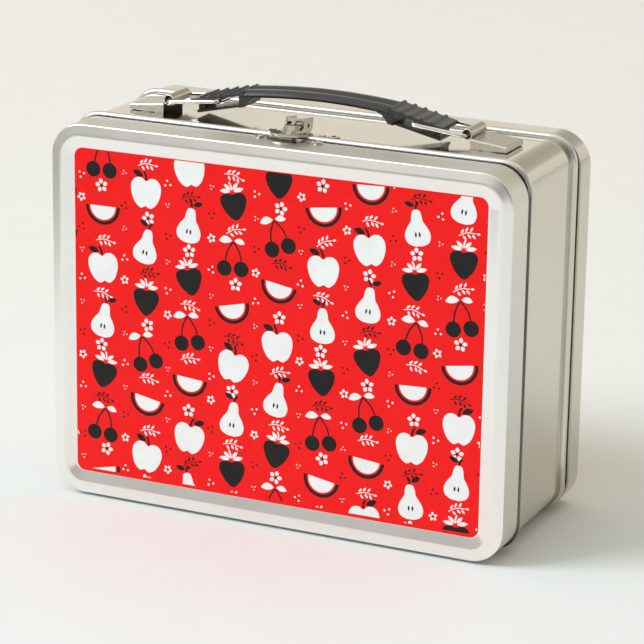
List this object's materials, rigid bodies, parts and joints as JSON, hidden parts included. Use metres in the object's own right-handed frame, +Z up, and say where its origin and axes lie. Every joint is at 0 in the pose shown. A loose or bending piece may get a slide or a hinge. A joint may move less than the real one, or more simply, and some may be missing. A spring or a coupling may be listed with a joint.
{
  "type": "metal lunch box",
  "caption": "Rounded rectangular tinplate lunch box with a bottom-hinged framed lid, bead-edged body, thumb-tab hasp on top and a folding black strap handle on wire bails.",
  "frame": {"origin": "on the floor, under the middle of the closed box", "axes": "+Z up; -Y is the front, the printed lid; +X is to the right when facing the lid"},
  "size_m": [0.2212, 0.096, 0.1896],
  "materials": {
    "tinplate": "satin tinplate, softly reflecting",
    "printed_sheet": "satin red print with white and black pattern",
    "hinge_steel": "bright drawn",
    "nickel_plate": "polished nickel plate",
    "nickel_wire": "polished nickel wire",
    "black_plastic": "semi-gloss moulded"
  },
  "bodies": {
    "base": {"band_shell": "tinplate", "band_collar": "tinplate", "back_shell": "tinplate", "hinge_rod": "hinge_steel", "latch_base": "nickel_plate", "latch_base_rivet_left": "nickel_plate", "latch_base_rivet_right": "nickel_plate", "latch_pin": "nickel_plate", "bracket_left": "nickel_plate", "bracket_right": "nickel_plate"},
    "lid": {"lid_shell": "tinplate", "print_panel": "printed_sheet", "hinge_strap_left": "hinge_steel", "hinge_strap_right": "hinge_steel", "catch_plate": "nickel_plate", "catch_rivet_left": "nickel_plate", "catch_rivet_right": "nickel_plate"},
    "hasp": {"latch_hasp": "nickel_plate"},
    "handle": {"handle_grip": "black_plastic"},
    "left_bail": {"bail_left": "nickel_wire"},
    "right_bail": {"bail_right": "nickel_wire"}
  },
  "joints": [
    {"name": "lid_hinge", "type": "hinge", "parent": "base", "child": "lid", "pos_m": [0, -0.0255, 0.0017], "axis": [1, 0, 0], "range_deg": [0, 120]},
    {"name": "hasp_pivot", "type": "hinge", "parent": "base", "child": "hasp", "pos_m": [0, -0.0223, 0.17905], "axis": [-1, 0, 0], "range_deg": [0, 75]},
    {"name": "handle_lift", "type": "slide", "parent": "base", "child": "handle", "axis": [0, 0, 1], "range_m": [0, 0.0185]},
    {"name": "bail_left_pivot", "type": "hinge", "parent": "base", "child": "left_bail", "pos_m": [-0.07205, 0.0015, 0.179], "axis": [0, -1, 0], "range_deg": [0, 39.1]},
    {"name": "bail_right_pivot", "type": "hinge", "parent": "base", "child": "right_bail", "pos_m": [0.07205, 0.0015, 0.179], "axis": [0, 1, 0], "range_deg": [0, 39.1]}
  ],
  "couplings": [
    {"joint": "bail_left_pivot", "follows": "handle_lift", "rad_per_m": 36.88},
    {"joint": "bail_right_pivot", "follows": "handle_lift", "rad_per_m": 36.88}
  ]
}
